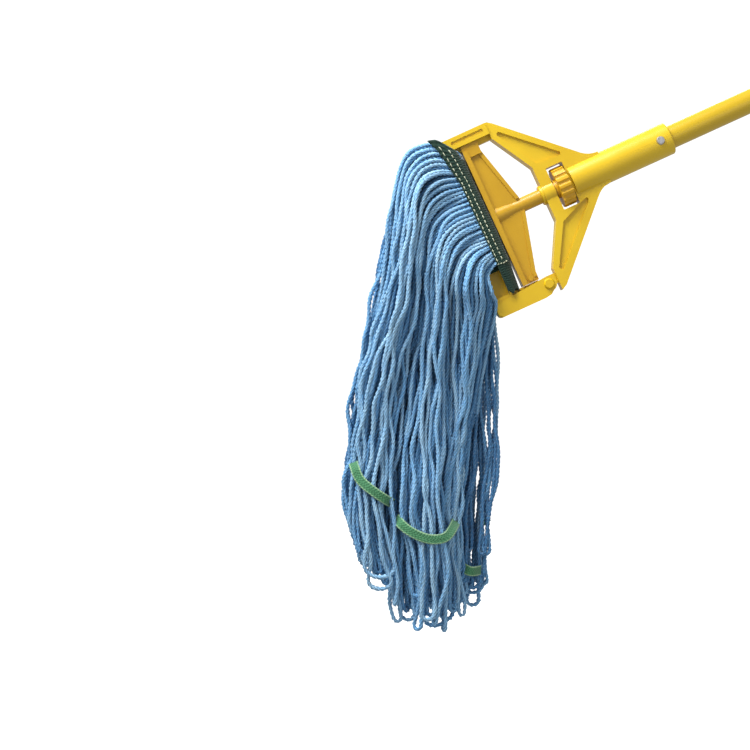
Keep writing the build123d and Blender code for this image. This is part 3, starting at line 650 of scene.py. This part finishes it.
def lobe(side, group):
    """One lobe's strands, drawn in pairs that a loop joins at the bottom."""
    q_from, q_to, columns, _ = GROUPS[group]
    lines, radii, phases, tones_and_shade = [], [], [], []
    for layer in range(LAYERS):
        pairs = round(columns * THINNING[layer] / 2)
        for pair in range(pairs):
            legs = []
            for column in (2 * pair, 2 * pair + 1):
                place = (column + 0.5 + rng.uniform(-0.40, 0.40)) / (2 * pairs)
                q = q_from + (q_to - q_from) * place
                legs.append((q, strand(q, 2 * place - 1, layer, side, group)))
            middle_q = (legs[0][0] + legs[1][0]) / 2
            end = WHEEL[2] + np.interp(middle_q, END_Q, END_Z) + END_SPREAD * rng.beta(1.1, 1.9) - 0.002
            end += INNER_RISE * (1 - layer / (LAYERS - 1)) + (BACK_RISE if side == "back" else 0)
            amount = rng.uniform(0.6, 1.5)
            first, second = (cut_at(wander(line, q, layer, amount), end) for q, line in legs)
            line = loop(first, second, rng.uniform(*LOOP_WIDTHS))
            lines.append(line)
            radii.append(yarn_radius(line, YARN_R * rng.uniform(0.94, 1.07)))
            phases.append(rng.uniform(0, 2 * pi))
            # A random tone, lowered for the inner layers: painted shade on the strands deep in the lobe.
            tones_and_shade.append(rng.uniform(0, 0.35) + 0.65 * (layer / (LAYERS - 1)) ** 2 * rng.uniform(0.75, 1.0))
    STRANDS.setdefault(side, []).extend(lines)
    return tubes_piece(f"strands_{side}_{group}", lines, radii, phases, tones_and_shade, YARN)


# Each lobe's strands are built on each side and take the place of the CAD yarn there, which is hidden.
for side in FALLS:
    for group in GROUPS:
        piece = lobe(side, group)
        replaced = [f"yarn_{side}_{group}"]
        if (side, group) == ("front", "middle"):
            replaced.append("headband_yarn")
        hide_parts(*replaced)
        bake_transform(piece)


# ---------------------------------------------------------------- tapes
def sheet_piece(name, outer, inner, material, keep=None):
    """A closed thick sheet from two (m, n, 3) grids; keep leaves out cells of the (m-1, n-1) grid."""
    m, n = outer.shape[:2]
    keep = np.ones((m - 1, n - 1), bool) if keep is None else keep
    index = np.arange(m * n).reshape(m, n)
    rows, columns = np.nonzero(keep)
    a, b = index[rows, columns], index[rows + 1, columns]
    c, d = index[rows + 1, columns + 1], index[rows, columns + 1]
    quads = [np.stack([a, b, c, d], axis=1)]
    quads.append(np.stack([d, c, b, a], axis=1) + m * n)
    padded = np.pad(keep, 1)
    for dr, dc, first, second in ((0, -1, a, b), (0, 1, c, d), (-1, 0, d, a), (1, 0, b, c)):
        edge = ~padded[rows + 1 + dr, columns + 1 + dc]
        quads.append(np.stack([second[edge], first[edge], first[edge] + m * n, second[edge] + m * n], axis=1))
    quads = np.vstack(quads)
    points = np.vstack([outer.reshape(-1, 3), inner.reshape(-1, 3)])
    used, quads = np.unique(quads, return_inverse=True)
    quads = quads.reshape(-1, 4)
    across = np.broadcast_to(np.linspace(0, 1, n)[None, :], (m, n))
    along = np.concatenate([[0], np.cumsum(np.linalg.norm(np.diff(outer[:, n // 2], axis=0), axis=1))]) * 10
    place = np.stack([across, np.broadcast_to(along[:, None], (m, n))], axis=-1).reshape(-1, 2)
    uv = np.vstack([place, place])[used][quads.ravel()]
    return new_piece(name, points[used], quads, material, uv)


def ripple(v, w, seed):
    """A slow unevenness from -1 to 1 over a tape."""
    waves = np.random.default_rng(seed).uniform(0, 2 * pi, 6)
    return (np.sin(62 * v + waves[0]) * np.cos(3.1 * w + waves[1]) + 0.6 * np.sin(143 * v + 5 * w + waves[2])
            + 0.4 * np.sin(310 * v - 7 * w + waves[3])) / 2


TAPE = 0.0012
# How far the outer tape's face stands outside the crossbar's edge, and the tape's lower end.
OUTER_REACH = 0.0104
OUTER_END_V = -0.082
# Above FLAP_V the outer tape stops short of the fold: only its parts further out than STOPPED_Y go on.
FLAP_V = 0.0752
STOPPED_Y = 0.0150
INNER_GAP = 0.00015


def headband_outer():
    """The outer tape, its grid of face points and the way out of the cloth at each of them."""
    section = fold_section(OUTER_REACH, ARC_U - 0.0016, 13)
    v = np.linspace(OUTER_END_V, BAND_TOP_V, 150)
    w = np.linspace(0, 1, len(section))
    vv, ww = np.meshgrid(v, w, indexing="ij")
    u = np.broadcast_to(section[:, 0], vv.shape).copy()
    y = np.broadcast_to(section[:, 1], vv.shape).copy()
    uneven = ripple(vv, ww * 6, 5)
    edge = np.abs(2 * ww - 1)
    outside = np.clip((edge - 0.30) / 0.70, 0, 1)
    normal_u, normal_y = u - ARC_U, np.sign(y) * np.maximum(np.abs(y) - ARC_Y, 0)
    size = np.maximum(np.hypot(normal_u, normal_y), 1e-9)
    normal_u, normal_y = normal_u / size, normal_y / size
    # Beyond the yarn the tape is empty: it sinks on to the crossbar and its end droops.
    empty = np.clip((BAND_YARN_END_V - vv) / (BAND_YARN_END_V - OUTER_END_V), 0, 1)
    sink = 0.0030 * empty ** 0.8 + 0.0006 * (uneven - 1) * (1 - empty)
    # At the top the free ends turn outwards and up over the first strands.
    top = np.clip((vv - 0.040) / 0.050, 0, 1) ** 1.7
    lift = 0.0020 * top * edge + 0.0007 * edge * uneven
    turned = np.interp(v, (0.045, 0.062, 0.072, 0.081, 0.090), (0, 0.0034, 0.0053, 0.0076, 0.0136))
    turned = turned[:, None] * outside
    u = u + normal_u * (lift - sink) - 0.0012 * edge * empty - turned
    y = y + normal_y * (lift - sink) + np.sign(y) * 0.0040 * top * outside
    dice = np.random.default_rng(8)
    ragged = np.interp(ww[0], np.linspace(0, 1, 14), dice.uniform(-0.0045, 0.0045, 14))
    rise = np.interp(u, (-0.1136, -0.1044, -0.0951, -0.0876), (0.0110, 0.0080, -0.0030, -0.0120))
    vv = vv + ragged[None, :] * empty ** 2 + top * (rise + 0.0006 * np.sin(11 * ww))
    outer = clamp_point(u, vv, y)
    inner = clamp_point(u - normal_u * TAPE, vv, y - normal_y * TAPE)
    middle_y = (np.abs(y[1:, 1:]) + np.abs(y[:-1, :-1])) / 2
    keep = ~((v[1:, None] > FLAP_V) & (middle_y < STOPPED_Y))
    return sheet_piece("headband_outer", outer, inner, DARK_TAPE, keep), outer, (outer - inner) / TAPE


def headband_inner():
    """The inner tape, folded over the crossbar under the yarn."""
    v = np.linspace(BAND_YARN_END_V - 0.006, 0.0745, 90)
    grids = []
    for reach in (TAPE + INNER_GAP, INNER_GAP):
        section = fold_section(reach, -0.1095, 8)
        vv = np.broadcast_to(v[:, None], (len(v), len(section)))
        grids.append(clamp_point(np.broadcast_to(section[:, 0], vv.shape), vv,
                                 np.broadcast_to(section[:, 1], vv.shape)))
    return sheet_piece("headband_inner", *grids, DARK_TAPE)


outer_tape, TAPE_FACE, TAPE_OUTWARD = headband_outer()
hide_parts("headband_outer_tape")
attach(outer_tape, "gate")
inner_tape = headband_inner()
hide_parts("headband_inner_tape")
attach(inner_tape, "gate")


def on_tape(v, column, height):
    """Points at a height over the outer tape, for a place v along it and a column of its grid."""
    row = (v - OUTER_END_V) / (BAND_TOP_V - OUTER_END_V) * (len(TAPE_FACE) - 1)
    i = np.clip(row.astype(int), 0, len(TAPE_FACE) - 2)
    j = np.clip(column.astype(int), 0, TAPE_FACE.shape[1] - 2)
    r, c = (row - i)[:, None], (column - j)[:, None]

    def blend(grid):
        return ((1 - r) * ((1 - c) * grid[i, j] + c * grid[i, j + 1])
                + r * ((1 - c) * grid[i + 1, j] + c * grid[i + 1, j + 1]))

    return blend(TAPE_FACE) + blend(TAPE_OUTWARD) * height[:, None]


STITCH_LENGTH, STITCH_SPACING = 0.0036, 0.0052
STITCH_POINTS = 6
THREAD_R = 0.00050


def add_stitches():
    """Two rows of pale stitches on each face of the band, and a crossing row where the yarn ends."""
    lines = []
    dice = np.random.default_rng(3)
    bow = 0.0001 + 0.0005 * np.sin(np.linspace(0, pi, STITCH_POINTS))
    last = TAPE_FACE.shape[1] - 1
    for column in (3.2, 6.2, last - 6.2, last - 3.2):
        for v in np.arange(BAND_YARN_END_V + 0.003, BAND_TOP_V - 0.006, STITCH_SPACING):
            start = v + dice.uniform(-0.0004, 0.0004)
            along = np.linspace(start, start + STITCH_LENGTH, STITCH_POINTS)
            lines.append(on_tape(along, np.full(STITCH_POINTS, column + dice.uniform(-0.15, 0.15)), bow))
    for first in (2.2, last - 8.8):
        for step in range(4):
            across = np.linspace(first + 1.8 * step, first + 1.8 * step + 1.2, STITCH_POINTS)
            v = np.full(STITCH_POINTS, BAND_YARN_END_V - 0.0005) + dice.uniform(-0.0005, 0.0005)
            lines.append(on_tape(v, across, bow))
    count = len(lines)
    return tubes_piece("headband_stitches", lines, [THREAD_R] * count, list(dice.uniform(0, 6, count)),
                       [0.5] * count, THREAD, 0.1)


stitches = add_stitches()
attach(stitches, "gate")


TAIL_WIDTH = 0.0102
# The spacing of the points along a band, how far its ends are drawn in and over what length, and the greatest
# depth at which a band may lie.
BAND_STEP = 0.0012
END_DIP, DIP_LENGTH = 0.0090, 0.009
DEEPEST_BAND = 0.0545
# Each tail band's cut length and the (x, z) points of its middle line.
TAIL_BANDS = {
    "front_left": (0.077, ((-0.2235, -0.2940), (-0.2165, -0.3105), (-0.2026, -0.3227), (-0.1822, -0.3366))),
    "front_middle": (0.120, ((-0.1790, -0.3516), (-0.1680, -0.3620), (-0.1533, -0.3700),
                             (-0.1394, -0.3730), (-0.1255, -0.3700), (-0.1135, -0.3560))),
    "front_right": (0.029, ((-0.1060, -0.4075), (-0.0985, -0.4105), (-0.0865, -0.4110))),
    "back_left": (0.068, ((-0.2170, -0.3030), (-0.2080, -0.3200), (-0.1940, -0.3320), (-0.1800, -0.3400))),
    "back_middle": (0.088, ((-0.1730, -0.3480), (-0.1600, -0.3600), (-0.1450, -0.3660),
                            (-0.1300, -0.3650), (-0.1180, -0.3540))),
    "back_right": (0.072, ((-0.1130, -0.3560), (-0.1040, -0.3680), (-0.0920, -0.3690), (-0.0780, -0.3560))),
}


def resting_depth(line, side, reach_x=0.0055, reach_z=0.0085):
    """How far out a band has to lie to rest on the strands under each point of its line."""
    near = np.vstack(STRANDS[side])
    low, high = line[:, 2].min() - 0.02, line[:, 2].max() + 0.02
    near = near[(near[:, 2] > low) & (near[:, 2] < high)]
    depth = np.zeros(len(line))
    for i, (x, _, z) in enumerate(line):
        under = np.abs(near[(np.abs(near[:, 0] - x) < reach_x) & (np.abs(near[:, 2] - z) < reach_z), 1])
        depth[i] = under.max() if len(under) else 0
    widest, smooth = 6, 15
    depth = np.pad(depth, widest, mode="edge")
    depth = np.lib.stride_tricks.sliding_window_view(depth, 2 * widest + 1).max(axis=1)
    kernel = np.hanning(2 * smooth + 1)
    return np.convolve(np.pad(depth, smooth, mode="edge"), kernel / kernel.sum(), mode="valid")


def tail_band(name, side, path):
    """A narrow tape that lies on the strands of one side, with its ends drawn in among them."""
    line = smooth_line([(WHEEL[0] + x, 0, WHEEL[2] + z) for x, z in path], BAND_STEP)
    tangent = np.gradient(line, axis=0)
    tangent /= np.linalg.norm(tangent, axis=1)[:, None]
    across = np.cross(tangent, (0, 1, 0))
    w = np.linspace(-0.5, 0.5, 9)
    grid = line[:, None, :] + across[:, None, :] * (w * TAIL_WIDTH)[None, :, None]
    depth = np.minimum(resting_depth(line, side) + YARN_R * 0.9, DEEPEST_BAND)[:, None]
    to_end = np.minimum(np.arange(len(line)), np.arange(len(line))[::-1]) * BAND_STEP
    depth = depth - END_DIP * np.clip(1 - to_end / DIP_LENGTH, 0, 1)[:, None] ** 1.5
    depth = depth + 0.0005 * ripple(line[:, :1] * 3, w[None, :] * 3, 7)
    outer, inner = grid.copy(), grid.copy()
    outer[..., 1] = OUTWARD[side] * (depth + TAPE)
    inner[..., 1] = OUTWARD[side] * depth
    return sheet_piece(name, outer, inner, TAIL_TAPE)


for name, (length, path) in TAIL_BANDS.items():
    side, place = name.split("_")
    piece = tail_band(f"tail_band_{name}", side, path)
    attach(piece, "yarn")
    # Each side's bands are one CAD node, which its middle band stands for.
    if place == "middle":
        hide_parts(f"tail_band_{side}")
